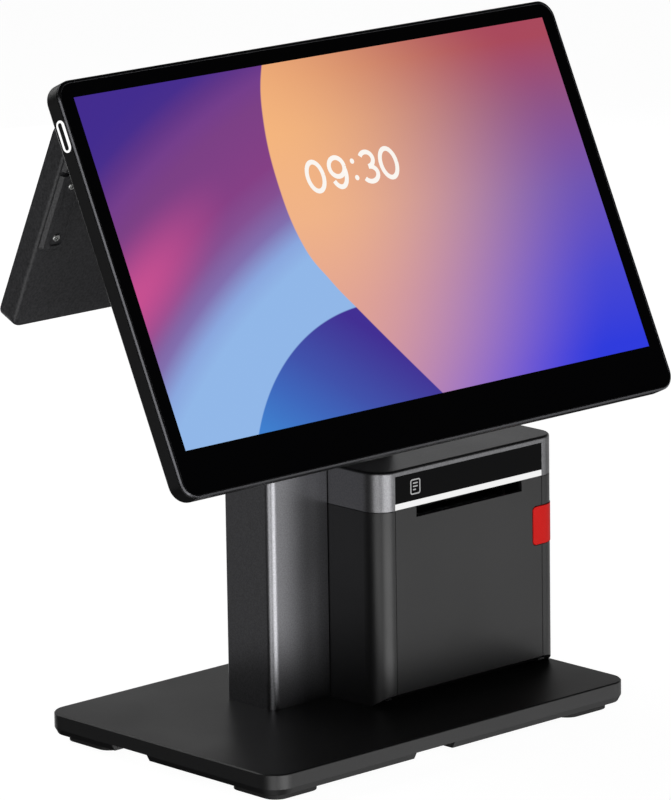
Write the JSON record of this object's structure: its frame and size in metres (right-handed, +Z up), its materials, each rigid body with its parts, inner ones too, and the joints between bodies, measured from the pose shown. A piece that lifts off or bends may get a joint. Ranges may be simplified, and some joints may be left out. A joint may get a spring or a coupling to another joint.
{
  "type": "desktop point-of-sale terminal",
  "caption": "Desktop point-of-sale terminal: tilting touch display and rear customer display on a column, with a receipt printer beside it on a flat base.",
  "frame": {"origin": "centre of the base's footprint on the table, under the feet", "axes": "+X to the operator's right, +Y towards the customer, +Z up"},
  "size_m": [0.3645, 0.1856, 0.3795],
  "materials": {
    "black_powder_coat": "satin",
    "steel": "satin",
    "rubber": "matt",
    "black_aluminium": "satin",
    "black_plastic": "fine texture",
    "black_glass": "gloss",
    "lcd": "gloss",
    "light": "diffuse",
    "gear_plastic": "satin",
    "circuit_board": "satin",
    "paper": "matt",
    "card": "matt",
    "red_plastic": "satin"
  },
  "bodies": {
    "stand": {"base_cover": "black_powder_coat", "base_pan_corner": "black_powder_coat", "base_pan_main": "black_powder_coat", "base_weight": "steel", "column_back_cover": "black_aluminium", "column_foot": "black_aluminium", "column_shell": "black_aluminium", "door_pin_left": "steel", "door_pin_right": "steel", "foot_front_left": "rubber", "foot_front_right": "rubber", "foot_rear_left": "rubber", "foot_rear_right": "rubber", "io_panel": "black_plastic", "light_strip": "light", "mech_frame": "steel", "port_drawer": "black_plastic", "port_lan": "black_plastic", "port_power": "black_plastic", "port_usb": "black_plastic", "printer_board": "circuit_board", "printer_glass": "black_glass", "printer_housing": "black_plastic", "printer_top_cap": "black_plastic", "roll_bucket": "black_plastic", "stand_head": "black_aluminium", "stepper_motor": "steel", "thermal_head": "black_aluminium", "tilt_shaft": "steel"},
    "main_display": {"display_bezel": "black_aluminium", "touch_glass": "black_glass", "lcd_panel": "lcd", "display_housing": "black_plastic", "mainboard": "circuit_board", "speaker_left": "black_plastic", "speaker_right": "black_plastic", "key_light_ring": "light", "tilt_leaf": "steel", "hinge_bracket_left": "steel", "hinge_bracket_right": "steel"},
    "customer_display": {"customer_housing": "black_plastic", "customer_glass": "black_glass", "customer_lcd": "lcd", "hinge_cover_left": "black_plastic", "hinge_cover_right": "black_plastic", "hinge_pin_left": "steel", "hinge_pin_right": "steel"},
    "door": {"printer_door": "black_plastic", "door_frame": "black_plastic"},
    "platen": {"platen_roller": "rubber", "platen_shaft": "steel", "platen_gear": "gear_plastic"},
    "drive": {"drive_gear": "gear_plastic"},
    "roll": {"paper_roll": "paper", "paper_core": "card"},
    "button": {"release_button": "red_plastic", "latch_hook": "steel"},
    "key": {"power_key": "black_plastic"},
    "cutter": {"cutter_blade": "steel"}
  },
  "joints": [
    {"name": "main_display_tilt", "type": "hinge", "parent": "stand", "child": "main_display", "pos_m": [0, 0.01, 0.284], "axis": [1, 0, 0], "range_deg": [-15, 10]},
    {"name": "customer_display_tilt", "type": "hinge", "parent": "main_display", "child": "customer_display", "pos_m": [0, 0.02352, 0.34748], "axis": [1, 0, 0], "range_deg": [-5, 30]},
    {"name": "printer_door_hinge", "type": "hinge", "parent": "stand", "child": "door", "pos_m": [0.064, -0.032, 0.025], "axis": [1, 0, 0], "range_deg": [0, 85]},
    {"name": "release_button_press", "type": "slide", "parent": "stand", "child": "button", "axis": [0, 1, 0], "range_m": [0, 0.002], "stiffness_N_per_m": 400},
    {"name": "power_key_press", "type": "slide", "parent": "main_display", "child": "key", "axis": [1, 0, 0], "range_m": [0, 0.0006], "stiffness_N_per_m": 500},
    {"name": "drive_gear_spin", "type": "hinge", "parent": "stand", "child": "drive", "pos_m": [0.0125, -0.01185, 0.108], "axis": [1, 0, 0], "continuous": true},
    {"name": "platen_spin", "type": "hinge", "parent": "door", "child": "platen", "pos_m": [0.064, -0.028, 0.108], "axis": [1, 0, 0], "continuous": true},
    {"name": "paper_roll_spin", "type": "hinge", "parent": "stand", "child": "roll", "pos_m": [0.064, -0.004, 0.061], "axis": [1, 0, 0], "continuous": true},
    {"name": "cutter_slide", "type": "slide", "parent": "stand", "child": "cutter", "axis": [0, -1, 0], "range_m": [0, 0.006]}
  ],
  "couplings": [
    {"joint": "drive_gear_spin", "follows": "platen_spin", "ratio": -0.66667}
  ]
}
